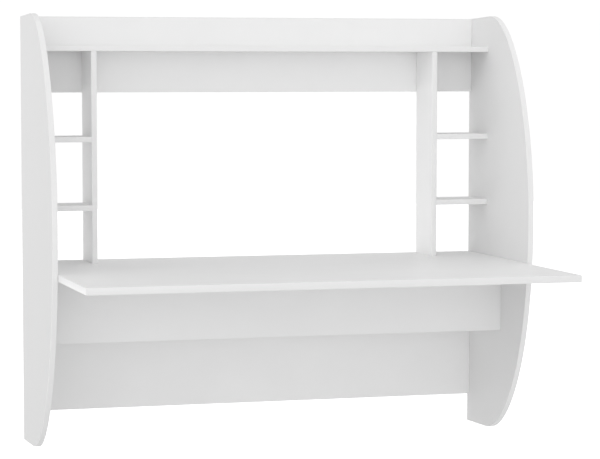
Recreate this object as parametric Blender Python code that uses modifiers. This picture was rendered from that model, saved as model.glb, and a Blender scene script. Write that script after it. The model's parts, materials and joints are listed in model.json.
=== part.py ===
"""A wall-hung writing desk in white laminated board, with a shelf unit above and two bowed side panels.

Axes: +X to the right, +Y into the wall, +Z up. The wall plane is y = 0 and the origin is the middle of the
upper back panel's rear face, where the desk is held against the wall.
Heights below are measured up from the foot, the lowest back corner of the side panels.
"""

import math

import bmesh
import bpy
from mathutils import Matrix, Vector
from mathutils.geometry import interpolate_bezier

# Driving dimensions, in metres.
OVERALL_WIDTH = 1.070
BOARD = 0.012
DESKTOP_THICKNESS = 0.015
BAND = 0.001
GAP = 0.0003
MOUNT_HEIGHT = 0.860

# Side panels: a straight back edge, and a front that bows out between two nearly level ends.
SIDE_HEIGHT = 0.944
BOW_DEPTH = 0.374
BOW_HEIGHT = 0.491
END_RUN = 0.123
END_SLOPE = 0.030
LOWER_END_HANDLE = 0.099
LOWER_BOW_HANDLE = 0.331
UPPER_BOW_HANDLE = 0.239
UPPER_END_HANDLE = 0.131
BOW_STEPS = 25

# Boards between the side panels.
DESKTOP_TOP = 0.402
DESKTOP_DEPTH = 0.670
TOP_SHELF_TOP = 0.879
SHELF_DEPTH = 0.120
RAIL_HEIGHT = 0.168
LOWER_RAIL_FOOT = 0.065
MODESTY_FOOT = 0.237
MODESTY_FRONT = 0.211
CENTRE_BAY_WIDTH = 0.776
SMALL_SHELF_TOPS = {"upper": 0.6805, "lower": 0.5305}

# Cam fittings: a bolt screwed into the side panel, and a cam in the board that pulls on its head.
CAM_RADIUS = 0.006
CAM_INSET = 0.024
CAM_BELOW_AXIS = 0.0035
CAM_SLOT = (0.008, 0.0012, 0.0010)
BOLT_RADIUS = 0.0025
BOLT_THREAD = 0.009
BOLT_REACH = 0.026
BOLT_PITCH = 0.003
BOLT_ROOT_RADIUS = 0.0018
BOLT_WAIST_RADIUS = 0.0015
BOLT_HEAD_LENGTH = 0.0025
BOLT_HEAD_ROUND = 0.0008
BOLT_WAIST_LENGTH = 0.0030
BOLT_TAPER = 0.0005
DESKTOP_CAM_DEPTH = 0.110
MODESTY_CAM_HEIGHT = 0.312

# Wooden dowels between the dividers and the boards above and below them.
DOWEL_RADIUS = 0.003
DOWEL_LENGTH = 0.024
DOWEL_IN_BOARD = 0.008
DOWEL_CHAMFER = 0.0008

# Keyhole hangers, let into the rear face of the upper back panel.
HANGER_X = 0.420
HANGER_WIDTH = 0.044
HANGER_HEIGHT = 0.030
HANGER_THICKNESS = 0.002
KEYHOLE_ENTRY_RADIUS = 0.0048
KEYHOLE_NECK_RADIUS = 0.0026
KEYHOLE_RISE = 0.010
HANGER_POCKET = (0.013, 0.026, 0.0085)
SCREW_SPREAD = 0.015
SCREW_HEAD_RADIUS = 0.0034
SCREW_SHANK_RADIUS = 0.0016
SCREW_ROOT_RADIUS = 0.0012
SCREW_HEAD_HEIGHT = 0.0018
SCREW_LENGTH = 0.0095
SCREW_PLAIN = 0.0010
SCREW_PITCH = 0.0014
SCREW_TIP = 0.0015
SCREW_SLOT = (0.00374, 0.0009, 0.0009)

# Lines that follow from them.
SIDE_INNER_X = OVERALL_WIDTH / 2 - BOARD
CLEAR_HALF = SIDE_INNER_X - GAP
DIVIDER_X = (CENTRE_BAY_WIDTH + BOARD) / 2
DESKTOP_UNDERSIDE = DESKTOP_TOP - DESKTOP_THICKNESS
TOP_SHELF_UNDERSIDE = TOP_SHELF_TOP - BOARD
UPPER_RAIL_FOOT = SIDE_HEIGHT - RAIL_HEIGHT
SHELF_BACK = -(BOARD + GAP)
SHELF_MIDDLE = (SHELF_BACK - SHELF_DEPTH) / 2
BORE_RADIUS = BOLT_RADIUS + GAP
SIDES = {"left": -1, "right": 1}

# How the meshes are made. A cutter runs PAST a face, and OVERCUT keeps two cutters' faces apart.
PAST = 0.002
OVERCUT = 0.000003
MERGE = 0.00001
ROUND_SIDES = 16
CAM_SIDES = 24
TURN_STEPS = 12
SMOOTH_ANGLE = math.radians(40)


def clear_scene():
    """Removes every object of the scene the script starts in."""
    for obj in list(bpy.data.objects):
        bpy.data.objects.remove(obj, do_unlink=True)


def new_collection(name):
    collection = bpy.data.collections.new(name)
    bpy.context.scene.collection.children.link(collection)
    return collection


def new_material(name, colour, roughness, metallic=0.0):
    material = bpy.data.materials.new(name)
    material.use_nodes = True
    shader = material.node_tree.nodes["Principled BSDF"]
    shader.inputs["Base Color"].default_value = (*colour, 1.0)
    shader.inputs["Roughness"].default_value = roughness
    shader.inputs["Metallic"].default_value = metallic
    material.diffuse_color = (*colour, 1.0)
    return material


clear_scene()
DESK = new_collection("wall_hung_writing_desk")
CUTTERS = new_collection("cutters")
LAMINATE = new_material("white_laminate", (0.80, 0.80, 0.80), 0.45)
DESKTOP_LAMINATE = new_material("white_desktop_laminate", (0.79, 0.79, 0.79), 0.40)
EDGE_BAND = new_material("white_edge_band", (0.84, 0.84, 0.84), 0.35)
ZINC = new_material("cast_zinc", (0.62, 0.63, 0.65), 0.42, 0.9)
STEEL = new_material("zinc_plated_steel", (0.72, 0.73, 0.75), 0.30, 1.0)
BEECH = new_material("beech", (0.66, 0.47, 0.29), 0.60)


def add_object(name, mesh, material, place=(0.0, 0.0, 0.0)):
    """Adds a mesh as a named part of the desk, or as a cutter where it has no material.

    The place's height is measured from the foot.
    """
    obj = bpy.data.objects.new(name, mesh)
    obj.location = (place[0], place[1], place[2] - MOUNT_HEIGHT)
    if material is None:
        CUTTERS.objects.link(obj)
        obj.hide_render = True
        obj.display_type = "WIRE"
    else:
        DESK.objects.link(obj)
        mesh.materials.append(material)
    return obj


def mesh_from(bm, name):
    mesh = bpy.data.meshes.new(name)
    bm.to_mesh(mesh)
    bm.free()
    return mesh


def add_box(name, low, high, material=None):
    """A box between two corners, with heights measured from the foot."""
    size = [b - a for a, b in zip(low, high)]
    middle = [(a + b) / 2 for a, b in zip(low, high)]
    bm = bmesh.new()
    bmesh.ops.create_cube(bm, size=1.0)
    bmesh.ops.scale(bm, vec=size, verts=bm.verts)
    return add_object(name, mesh_from(bm, name), material, middle)


def add_cylinder(name, middle, axis, radius, length, material=None, end_radius=None, sides=ROUND_SIDES):
    """A cylinder, or a cone whose end_radius is at its far end along the axis."""
    bm = bmesh.new()
    far_radius = radius if end_radius is None else end_radius
    bmesh.ops.create_cone(
        bm, cap_ends=True, segments=sides, radius1=radius, radius2=far_radius, depth=length
    )
    mesh = mesh_from(bm, name)
    obj = add_object(name, mesh, material, middle)
    obj.rotation_euler = Vector(axis).to_track_quat("Z", "Y").to_euler()
    mesh.shade_smooth()
    mesh.set_sharp_from_angle(angle=SMOOTH_ANGLE)
    return obj


def cut(piece, *cutters):
    """Takes each cutter's shape out of the piece."""
    for cutter in cutters:
        modifier = piece.modifiers.new("cut_" + cutter.name, "BOOLEAN")
        modifier.operation = "DIFFERENCE"
        modifier.solver = "EXACT"
        modifier.object = cutter


def outline_points(inset=0.0):
    """The side panel's edge as (depth, height) points, from the foot's back corner round the bow to the top.

    The ends are straight, and two cubic curves make the bow. inset moves the line into the panel.
    """
    foot_end = Vector((END_RUN, END_RUN * END_SLOPE, 0))
    top_end = Vector((END_RUN, SIDE_HEIGHT + END_RUN * END_SLOPE, 0))
    bow = Vector((BOW_DEPTH, BOW_HEIGHT, 0))
    along_end = Vector((1, END_SLOPE, 0))
    up = Vector((0, 1, 0))
    lower = interpolate_bezier(
        foot_end, foot_end + along_end * LOWER_END_HANDLE, bow - up * LOWER_BOW_HANDLE, bow, BOW_STEPS
    )
    upper = interpolate_bezier(
        bow, bow + up * UPPER_BOW_HANDLE, top_end + along_end * UPPER_END_HANDLE, top_end, BOW_STEPS
    )
    points = [Vector((0, 0, 0)), *lower, *upper[1:], Vector((0, SIDE_HEIGHT, 0))]
    moved = []
    for index, point in enumerate(points):
        before = points[max(index - 1, 0)]
        after = points[min(index + 1, len(points) - 1)]
        along = (after - before).normalized()
        inward = Vector((-along.y, along.x, 0))
        moved.append(point + inward * inset)
    moved[0].x = moved[-1].x = 0.0
    return [(point.x, point.y) for point in moved]


def side_panel(name, sign):
    """The D-shaped board: its outline as a filled flat curve, stood upright and made a mesh for its bores."""
    curve = bpy.data.curves.new(name + "_outline", "CURVE")
    curve.dimensions = "2D"
    curve.fill_mode = "BOTH"
    curve.extrude = BOARD / 2
    points = outline_points(BAND)
    spline = curve.splines.new("POLY")
    spline.points.add(len(points) - 1)
    for point, (depth, height) in zip(spline.points, points):
        point.co = (depth, height, 0, 1)
    spline.use_cyclic_u = True
    guide = bpy.data.objects.new(name + "_outline", curve)
    CUTTERS.objects.link(guide)
    graph = bpy.context.evaluated_depsgraph_get()
    flat = bpy.data.meshes.new_from_object(guide.evaluated_get(graph))
    bpy.data.objects.remove(guide)
    # The curve's x runs towards the room, its y is up and its extrusion lies across the board.
    upright = Matrix(((0, 0, 1, 0), (-1, 0, 0, 0), (0, 1, 0, 0), (0, 0, 0, 1)))
    bm = bmesh.new()
    bm.from_mesh(flat)
    bmesh.ops.remove_doubles(bm, verts=bm.verts, dist=MERGE)
    bmesh.ops.transform(bm, matrix=upright, verts=bm.verts)
    bmesh.ops.recalc_face_normals(bm, faces=bm.faces)
    return add_object(name, mesh_from(bm, name), LAMINATE, (sign * (OVERALL_WIDTH - BOARD) / 2, 0, 0))


def side_band(name, sign):
    """The strip that covers the panel's foot, bow and top: a ribbon with a thickness."""
    bm = bmesh.new()
    points = outline_points()
    rows = []
    for depth, height in points:
        rows.append([bm.verts.new((x, -depth, height)) for x in (-BOARD / 2, BOARD / 2)])
    for (a, b), (c, d) in zip(rows, rows[1:]):
        bm.faces.new((a, b, d, c))
    band = add_object(name, mesh_from(bm, name), EDGE_BAND, (sign * (OVERALL_WIDTH - BOARD) / 2, 0, 0))
    solid = band.modifiers.new("thickness", "SOLIDIFY")
    solid.thickness = BAND - GAP
    solid.offset = -1.0
    solid.use_even_offset = True
    return band


def desktop():
    """The writing surface, with a band on its front and on both ends."""
    end = CLEAR_HALF - BAND
    front = -(DESKTOP_DEPTH - BAND)
    top = add_box("desktop", (-end, front, DESKTOP_UNDERSIDE), (end, 0, DESKTOP_TOP), DESKTOP_LAMINATE)
    add_box(
        "desktop_front_band",
        (-CLEAR_HALF, -DESKTOP_DEPTH, DESKTOP_UNDERSIDE),
        (CLEAR_HALF, front - GAP, DESKTOP_TOP),
        EDGE_BAND,
    )
    ends = {}
    for side, sign in SIDES.items():
        near, far = sorted((sign * (end + GAP), sign * CLEAR_HALF))
        ends[side] = add_box(
            f"desktop_{side}_band", (near, front, DESKTOP_UNDERSIDE), (far, 0, DESKTOP_TOP), EDGE_BAND
        )
    return top, ends


def shelf(name, low_x, high_x, top):
    """A level shelf with a band on its front."""
    front = -(SHELF_DEPTH - BAND)
    board = add_box(name, (low_x, front, top - BOARD), (high_x, SHELF_BACK, top), LAMINATE)
    band_low = (low_x, -SHELF_DEPTH, top - BOARD)
    add_box(name + "_band", band_low, (high_x, front - GAP, top), EDGE_BAND)
    return board


def divider(side, sign):
    """An upright between the desktop and the top shelf, with a band on its front."""
    low_x = sign * DIVIDER_X - BOARD / 2
    high_x = low_x + BOARD
    front = -(SHELF_DEPTH - BAND)
    foot = DESKTOP_TOP + GAP
    head = TOP_SHELF_UNDERSIDE - GAP
    name = f"divider_{side}"
    board = add_box(name, (low_x, front, foot), (high_x, SHELF_BACK, head), LAMINATE)
    add_box(name + "_band", (low_x, -SHELF_DEPTH, foot), (high_x, front - GAP, head), EDGE_BAND)
    return board


def rail(name, front, foot, head, banded_head=False):
    """An upright cross board between the side panels, with a band along its lower edge, or along both."""
    bare_head = head - BAND if banded_head else head
    board = add_box(
        name, (-CLEAR_HALF, -front, foot + BAND), (CLEAR_HALF, -front + BOARD, bare_head), LAMINATE
    )
    lower_name = name + ("_lower_band" if banded_head else "_band")
    lower_high = (CLEAR_HALF, -front + BOARD, foot + BAND - GAP)
    add_box(lower_name, (-CLEAR_HALF, -front, foot), lower_high, EDGE_BAND)
    if banded_head:
        upper_low = (-CLEAR_HALF, -front, bare_head + GAP)
        add_box(name + "_upper_band", upper_low, (CLEAR_HALF, -front + BOARD, head), EDGE_BAND)
    return board


def bolt_profile():
    """(along, radius) points of a cam bolt, from its threaded tip to its head."""
    points = [(0.0, 0.0), (0.0, BOLT_ROOT_RADIUS)]
    for turn in range(round(BOLT_THREAD / BOLT_PITCH)):
        start = turn * BOLT_PITCH
        points += [(start + BOLT_PITCH / 2, BOLT_RADIUS), (start + BOLT_PITCH, BOLT_ROOT_RADIUS)]
    end = BOLT_THREAD + BOLT_REACH
    head = end - BOLT_HEAD_LENGTH
    waist = head - BOLT_TAPER - BOLT_WAIST_LENGTH
    points += [
        (BOLT_THREAD + GAP, BOLT_RADIUS),
        (waist - BOLT_TAPER, BOLT_RADIUS),
        (waist, BOLT_WAIST_RADIUS),
        (head - BOLT_TAPER, BOLT_WAIST_RADIUS),
        (head, BOLT_RADIUS),
        (end - BOLT_HEAD_ROUND, BOLT_RADIUS),
        (end, BOLT_WAIST_RADIUS),
        (end, 0.0),
    ]
    return points


def turned(name, profile, material, place, axis, steps=TURN_STEPS):
    """A turned piece: the profile's (along, radius) points spun round an axis that starts at place."""
    bm = bmesh.new()
    verts = [bm.verts.new((radius, 0, along)) for along, radius in reversed(profile)]
    for a, b in zip(verts, verts[1:]):
        bm.edges.new((a, b))
    mesh = mesh_from(bm, name)
    obj = add_object(name, mesh, material, place)
    obj.rotation_euler = Vector(axis).to_track_quat("Z", "Y").to_euler()
    spin = obj.modifiers.new("turn", "SCREW")
    spin.axis = "Z"
    spin.steps = spin.render_steps = steps
    spin.use_merge_vertices = True
    spin.merge_threshold = MERGE
    spin.use_smooth_shade = False
    return obj


def cam_fitting(name, side, sign, board, facing, depth, height, ends=()):
    """One cam fitting between a side panel and a board's end.

    The cam's open face looks the way of facing, depth and height place the bolt's axis, and ends holds the
    bands on the board's end, which the bolt crosses.
    """
    tip = sign * (SIDE_INNER_X + BOLT_THREAD)
    turned(f"cam_bolt_{name}_{side}", bolt_profile(), STEEL, (tip, depth, height), (-sign, 0, 0))
    bore_length = BOLT_THREAD + BOLT_REACH + 2 * GAP
    bore_middle = tip + sign * (GAP - bore_length / 2)
    bore = add_cylinder(
        f"bore_{name}_{side}", (bore_middle, depth, height), (1, 0, 0), BORE_RADIUS, bore_length
    )
    for piece in (PANELS[side], board, *ends):
        cut(piece, bore)
    half_board = (DESKTOP_THICKNESS if board.name == "desktop" else BOARD) / 2
    cam_length = half_board + CAM_BELOW_AXIS
    open_face = Vector((sign * (SIDE_INNER_X - CAM_INSET), depth, height)) + facing * half_board
    middle = open_face - facing * (cam_length / 2)
    cam = add_cylinder(f"cam_{name}_{side}", middle, facing, CAM_RADIUS, cam_length, ZINC, sides=CAM_SIDES)
    pocket_length = cam_length + GAP + PAST
    pocket_middle = open_face + facing * (PAST - pocket_length / 2)
    pocket = add_cylinder(
        f"pocket_{name}_{side}", pocket_middle, facing, CAM_RADIUS + GAP, pocket_length, sides=CAM_SIDES
    )
    cut(board, pocket)
    cut(cam, bore, *cross_cutters(f"{name}_{side}", open_face, facing))


def cross_cutters(name, face, facing):
    """Two crossed slots in a cam's open face, for a screwdriver."""
    length, width, deep = CAM_SLOT
    across = Vector((1, 0, 0))
    other = facing.cross(across)
    cutters = []
    for index, (long_way, short_way) in enumerate(((across, other), (other, across))):
        half = [
            abs(long_way[i]) * length / 2 + abs(short_way[i]) * width / 2 + abs(facing[i]) * deep
            for i in range(3)
        ]
        low = [face[i] - half[i] for i in range(3)]
        high = [face[i] + half[i] for i in range(3)]
        cutters.append(add_box(f"slot_{name}_{index}", low, high))
    return cutters


def dowel(name, x, joint_height, into_board, boards):
    """A dowel across a level joint: into_board is +1 where the level board is above the divider, else -1."""
    half = DOWEL_LENGTH / 2
    middle = joint_height + into_board * (DOWEL_IN_BOARD - half)
    profile = [
        (0.0, 0.0),
        (0.0, DOWEL_RADIUS - DOWEL_CHAMFER),
        (DOWEL_CHAMFER, DOWEL_RADIUS),
        (DOWEL_LENGTH - DOWEL_CHAMFER, DOWEL_RADIUS),
        (DOWEL_LENGTH, DOWEL_RADIUS - DOWEL_CHAMFER),
        (DOWEL_LENGTH, 0.0),
    ]
    turned(name, profile, BEECH, (x, SHELF_MIDDLE, middle - half), (0, 0, 1), steps=ROUND_SIDES)
    bore_length = DOWEL_LENGTH + 2 * GAP
    bore = add_cylinder(
        "bore_" + name, (x, SHELF_MIDDLE, middle), (0, 0, 1), DOWEL_RADIUS + GAP, bore_length
    )
    for board in boards:
        cut(board, bore)


def hanger(side, sign, board):
    """A keyhole plate in the upper back panel's rear face, with its two screws and the room behind it."""
    x = sign * HANGER_X
    z = MOUNT_HEIGHT
    half_w, half_h = HANGER_WIDTH / 2, HANGER_HEIGHT / 2
    plate = add_box(
        f"hanger_plate_{side}",
        (x - half_w, -HANGER_THICKNESS, z - half_h),
        (x + half_w, 0, z + half_h),
        STEEL,
    )
    recess = add_box(
        f"recess_{side}",
        (x - half_w - GAP, -HANGER_THICKNESS - GAP, z - half_h - GAP),
        (x + half_w + GAP, PAST, z + half_h + GAP),
    )
    pocket_w, pocket_h, pocket_d = HANGER_POCKET
    pocket = add_box(
        f"hanger_pocket_{side}",
        (x - pocket_w / 2, -pocket_d, z - pocket_h / 2),
        (x + pocket_w / 2, PAST, z + pocket_h / 2),
    )
    cut(board, recess, pocket)
    deep = 4 * HANGER_THICKNESS
    neck_top = z + KEYHOLE_RISE / 2
    entry_z = z - KEYHOLE_RISE / 2
    entry = add_cylinder(
        f"entry_{side}", (x, 0, entry_z), (0, 1, 0), KEYHOLE_ENTRY_RADIUS, deep, sides=CAM_SIDES
    )
    neck = add_box(
        f"neck_{side}",
        (x - KEYHOLE_NECK_RADIUS, -deep / 2, entry_z),
        (x + KEYHOLE_NECK_RADIUS, deep / 2, neck_top),
    )
    neck_end = add_cylinder(
        f"neck_end_{side}", (x, 0, neck_top), (0, 1, 0), KEYHOLE_NECK_RADIUS + OVERCUT, deep + PAST
    )
    cut(plate, entry, neck, neck_end)
    for place, way in (("inner", -sign), ("outer", sign)):
        hanger_screw(f"hanger_screw_{side}_{place}", x + way * SCREW_SPREAD, z, plate, board)


def hanger_screw(name, x, z, plate, board):
    """A countersunk screw through the plate, its head flush with the plate's face."""
    profile = [(0.0, 0.0), (0.0, SCREW_HEAD_RADIUS), (SCREW_HEAD_HEIGHT, SCREW_SHANK_RADIUS)]
    crest = SCREW_HEAD_HEIGHT + SCREW_PLAIN
    while crest + SCREW_PITCH / 2 < SCREW_LENGTH - SCREW_TIP:
        profile += [(crest, SCREW_SHANK_RADIUS), (crest + SCREW_PITCH / 2, SCREW_ROOT_RADIUS)]
        crest += SCREW_PITCH
    profile += [(SCREW_LENGTH - SCREW_TIP, SCREW_SHANK_RADIUS), (SCREW_LENGTH, 0.0)]
    screw = turned(name, profile, STEEL, (x, -GAP / 2, z), (0, -1, 0))
    length, width, deep = SCREW_SLOT
    for index, (w, h) in enumerate(((length / 2, width / 2), (width / 2, length / 2))):
        slot = add_box(f"{name}_slot_{index}", (x - w, -deep, z - h), (x + w, PAST, z + h))
        cut(screw, slot)
    sink_length = SCREW_HEAD_HEIGHT + PAST
    slope = (SCREW_HEAD_RADIUS - SCREW_SHANK_RADIUS) / SCREW_HEAD_HEIGHT
    wide = SCREW_HEAD_RADIUS + GAP + PAST * slope
    narrow = SCREW_SHANK_RADIUS + GAP
    sink_place = (x, PAST - sink_length / 2, z)
    sink = add_cylinder(name + "_sink", sink_place, (0, -1, 0), wide, sink_length, end_radius=narrow)
    bore_length = SCREW_LENGTH + GAP
    bore = add_cylinder(name + "_bore", (x, -bore_length / 2, z), (0, 1, 0), narrow, bore_length + GAP)
    cut(plate, bore, sink)
    cut(board, bore)


PANELS = {side: side_panel(f"side_panel_{side}", sign) for side, sign in SIDES.items()}


def build():
    """Makes every board, then the fittings that join them."""
    for side, sign in SIDES.items():
        side_band(f"side_panel_{side}_band", sign)
    desk_board, desk_ends = desktop()
    top_shelf = shelf("top_shelf", -CLEAR_HALF, CLEAR_HALF, TOP_SHELF_TOP)
    upper_rail = rail("upper_back_panel", BOARD, UPPER_RAIL_FOOT, SIDE_HEIGHT, banded_head=True)
    lower_rail = rail("lower_back_panel", BOARD, LOWER_RAIL_FOOT, LOWER_RAIL_FOOT + RAIL_HEIGHT)
    modesty = rail("modesty_panel", MODESTY_FRONT, MODESTY_FOOT, DESKTOP_UNDERSIDE - GAP)
    for side, sign in SIDES.items():
        upright = divider(side, sign)
        outer = sign * (DIVIDER_X + BOARD / 2 + GAP)
        for level, top in SMALL_SHELF_TOPS.items():
            low_x, high_x = sorted((outer, sign * CLEAR_HALF))
            shelf(f"small_shelf_{side}_{level}", low_x, high_x, top)
        x = sign * DIVIDER_X
        dowel(f"dowel_{side}_top", x, TOP_SHELF_UNDERSIDE, 1, (top_shelf, upright))
        dowel(f"dowel_{side}_foot", x, DESKTOP_TOP, -1, (desk_board, upright))
        ends = (desk_ends[side],)
        down, back = Vector((0, 0, -1)), Vector((0, 1, 0))
        rail_middle = -BOARD / 2
        joints = (
            ("top_shelf", top_shelf, down, SHELF_MIDDLE, TOP_SHELF_TOP - BOARD / 2, ()),
            ("desktop", desk_board, down, -DESKTOP_CAM_DEPTH, DESKTOP_TOP - DESKTOP_THICKNESS / 2, ends),
            ("modesty", modesty, back, BOARD / 2 - MODESTY_FRONT, MODESTY_CAM_HEIGHT, ()),
            ("upper_back", upper_rail, back, rail_middle, UPPER_RAIL_FOOT + RAIL_HEIGHT / 2, ()),
            ("lower_back", lower_rail, back, rail_middle, LOWER_RAIL_FOOT + RAIL_HEIGHT / 2, ()),
        )
        for joint in joints:
            cam_fitting(joint[0], side, sign, *joint[1:])
        hanger(side, sign, upper_rail)


build()
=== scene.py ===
"""A wall-hung writing desk in white laminated board, set up in a white studio.

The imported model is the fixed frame. Every board, edge band and fitting is rebuilt here with its own
finish, in the place that the frame gives, and rides on the frame's one body.

Axes: +X to the right, +Y into the wall, +Z up, in metres. The wall plane is y = 0.
"""

import json
import logging
import math
from collections.abc import Callable, Iterable, Sequence
from dataclasses import dataclass, field
from enum import Enum
from typing import Any

import bmesh
import bpy
from mathutils import Matrix, Vector

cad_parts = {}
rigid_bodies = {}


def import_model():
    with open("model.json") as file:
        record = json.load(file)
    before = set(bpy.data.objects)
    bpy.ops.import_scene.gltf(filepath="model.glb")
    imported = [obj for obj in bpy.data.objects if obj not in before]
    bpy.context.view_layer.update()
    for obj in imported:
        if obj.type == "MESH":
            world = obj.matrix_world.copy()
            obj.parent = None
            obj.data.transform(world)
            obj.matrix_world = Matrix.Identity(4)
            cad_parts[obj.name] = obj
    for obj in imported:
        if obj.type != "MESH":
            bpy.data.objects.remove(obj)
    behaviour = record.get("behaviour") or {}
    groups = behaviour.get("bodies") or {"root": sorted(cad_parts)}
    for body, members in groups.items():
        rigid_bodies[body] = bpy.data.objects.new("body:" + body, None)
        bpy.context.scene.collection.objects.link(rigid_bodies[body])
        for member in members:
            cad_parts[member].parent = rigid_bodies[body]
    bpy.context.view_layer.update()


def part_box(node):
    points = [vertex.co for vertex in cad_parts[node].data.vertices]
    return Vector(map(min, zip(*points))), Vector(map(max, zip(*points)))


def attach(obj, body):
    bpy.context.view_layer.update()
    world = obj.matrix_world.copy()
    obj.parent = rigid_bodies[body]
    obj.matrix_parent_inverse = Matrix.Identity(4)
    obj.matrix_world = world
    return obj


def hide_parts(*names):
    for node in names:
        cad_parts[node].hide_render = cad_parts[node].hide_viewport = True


for leftover in list(bpy.data.objects):
    bpy.data.objects.remove(leftover, do_unlink=True)
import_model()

LOG = logging.getLogger("writing_desk")

Colour = tuple[float, float, float]
Point = tuple[float, float, float]

CLEARANCE = 0.0003  # air round a fitting in its bore
GLUE_LINE = 0.0001  # between a board and its edge band
JOINT_CLOSED = 0.0002  # how far a board's end is drawn up to the board that it stands against
PAST_FACE = 0.001  # how far a cutter stands out of the face that it opens
WELD = 0.000002  # how close two points lie that become one
ALONG = 0.5  # a face looks along an axis where its normal's part on that axis is more than this
SIDES = {"left": -1, "right": 1}


class Facing(Enum):
    """The six ways a face can look, each as an axis (0 to 2) and a sign."""

    LEFT = (0, -1)
    RIGHT = (0, 1)
    ROOM = (1, -1)
    WALL = (1, 1)
    DOWN = (2, -1)
    UP = (2, 1)

    @property
    def axis(self) -> int:
        """The axis that the face looks along."""
        return self.value[0]

    @property
    def sign(self) -> int:
        """1 where the face looks up its axis, and -1 where it looks down it."""
        return self.value[1]

    @property
    def direction(self) -> Vector:
        """The way that the face looks, as a unit vector."""
        return Vector([self.sign if axis == self.axis else 0 for axis in range(3)])


class Slot(Enum):
    """The record's material slots."""

    BOARD = "board_laminate"
    DESKTOP = "desktop_laminate"
    BAND = "edge_band"
    CAM = "cam_zinc"
    BOLT = "fitting_steel"
    HANGER = "hanger_steel"
    DOWEL = "dowel_beech"


@dataclass(frozen=True)
class Extent:
    """A box in the frame, between two corners.

    Attributes:
        low: The lowest corner.
        high: The highest corner.
    """

    low: Vector
    high: Vector

    @classmethod
    def of(cls, node: str) -> "Extent":
        """The box of one CAD node."""
        return cls(*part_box(node))

    @classmethod
    def between(cls, low: Point, high: Point) -> "Extent":
        """The box between two corners that are given as plain numbers."""
        return cls(Vector(low), Vector(high))

    @property
    def size(self) -> Vector:
        """The box's length along each axis."""
        return self.high - self.low

    @property
    def middle(self) -> Vector:
        """The box's middle point."""
        return (self.low + self.high) / 2

    def face(self, facing: Facing) -> float:
        """Where the face that looks one way stands on its axis."""
        corner = self.high if facing.sign > 0 else self.low
        return corner[facing.axis]

    def middle_of(self, facing: Facing) -> Vector:
        """The middle of the face that looks one way."""
        point = self.middle
        point[facing.axis] = self.face(facing)
        return point

    def grown(self, by: float) -> "Extent":
        """The same box with each face moved out."""
        step = Vector((by, by, by))
        return Extent(self.low - step, self.high + step)

    def with_face(self, facing: Facing, place: float) -> "Extent":
        """The same box with one face moved to a place on its axis."""
        low, high = self.low.copy(), self.high.copy()
        (high if facing.sign > 0 else low)[facing.axis] = place
        return Extent(low, high)

    def drawn_out(self, facing: Facing, by: float) -> "Extent":
        """The same box with one face moved out."""
        return self.with_face(facing, self.face(facing) + facing.sign * by)


# Node trees ---------------------------------------------------------------------------------------


class Graph:
    """Adds nodes to a node tree and links them, one call for each node."""

    ROW = 12  # how many nodes stand in a row of the tree's layout
    SPACING = (180, 220)

    def __init__(self, tree: bpy.types.NodeTree) -> None:
        """Works on a tree.

        Args:
            tree: The tree that the nodes go into.
        """
        self.tree = tree

    def add(
        self, kind: str, inputs: dict[str | int, Any] | None = None, **settings: Any
    ) -> bpy.types.Node:
        """Adds one node.

        Args:
            kind: The node's type name.
            inputs: For a socket's name or number, an output to link to it or a value to set on it.
            settings: Properties of the node itself.

        Returns:
            The new node.
        """
        node = self.tree.nodes.new(kind)
        row, column = divmod(len(self.tree.nodes), self.ROW)
        node.location = (column * self.SPACING[0], -row * self.SPACING[1])
        for name, value in settings.items():
            setattr(node, name, value)
        for key, value in (inputs or {}).items():
            self.feed(node.inputs[key], value)
        return node

    def feed(self, socket: bpy.types.NodeSocket, value: Any) -> None:
        """Links an output to a socket, or sets the socket's own value."""
        if isinstance(value, bpy.types.NodeSocket):
            self.tree.links.new(value, socket)
        else:
            socket.default_value = value

    def math(self, operation: str, a: Any, b: Any = 0.0) -> bpy.types.NodeSocket:
        """The result of one arithmetic step on two numbers."""
        return self.add("ShaderNodeMath", {0: a, 1: b}, operation=operation).outputs[0]

    def vector(self, operation: str, a: Any, b: Any) -> bpy.types.NodeSocket:
        """The result of one arithmetic step on two vectors."""
        return self.add("ShaderNodeVectorMath", {0: a, 1: b}, operation=operation).outputs[0]

    def mix(self, kind: str, share: Any, first: Any, second: Any) -> bpy.types.NodeSocket:
        """A colour (kind "RGBA") or a point (kind "VECTOR") between two others."""
        node = self.add("ShaderNodeMix", data_type=kind)
        what = {"RGBA": "Color", "VECTOR": "Vector"}[kind]
        for name, value in (("Factor_Float", share), (f"A_{what}", first), (f"B_{what}", second)):
            self.feed(next(s for s in node.inputs if s.identifier == name), value)
        return next(s for s in node.outputs if s.identifier == f"Result_{what}")

    def mix_colour(self, share: Any, first: Any, second: Any) -> bpy.types.NodeSocket:
        """A colour between two others."""
        return self.mix("RGBA", share, first, second)

    def here(self) -> bpy.types.NodeSocket:
        """The point on the piece, in metres from its origin."""
        return self.add("ShaderNodeTexCoord").outputs["Object"]

    def noise(
        self, at: Any, scale: float, detail: float, roughness: float = 0.5
    ) -> bpy.types.NodeSocket:
        """Soft noise between 0 and 1 at a point."""
        inputs = {"Vector": at, "Scale": scale, "Detail": detail, "Roughness": roughness}
        return self.add("ShaderNodeTexNoise", inputs).outputs[0]

    def bump(self, height: Any, distance: float, under: Any = None) -> bpy.types.NodeSocket:
        """The surface's normal on a relief, which may lie on another relief's normal."""
        below = {} if under is None else {"Normal": under}
        return self.add("ShaderNodeBump", {"Height": height, "Distance": distance, **below}).outputs[0]

    def ramp(self, value: Any, low: float, high: float, start: float = 0.0, end: float = 1.0) -> Any:
        """A number mapped from one range to another, and held at the new range's ends."""
        inputs = {"Value": value, "From Min": low, "From Max": high, "To Min": start, "To Max": end}
        return self.add("ShaderNodeMapRange", inputs).outputs[0]


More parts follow.
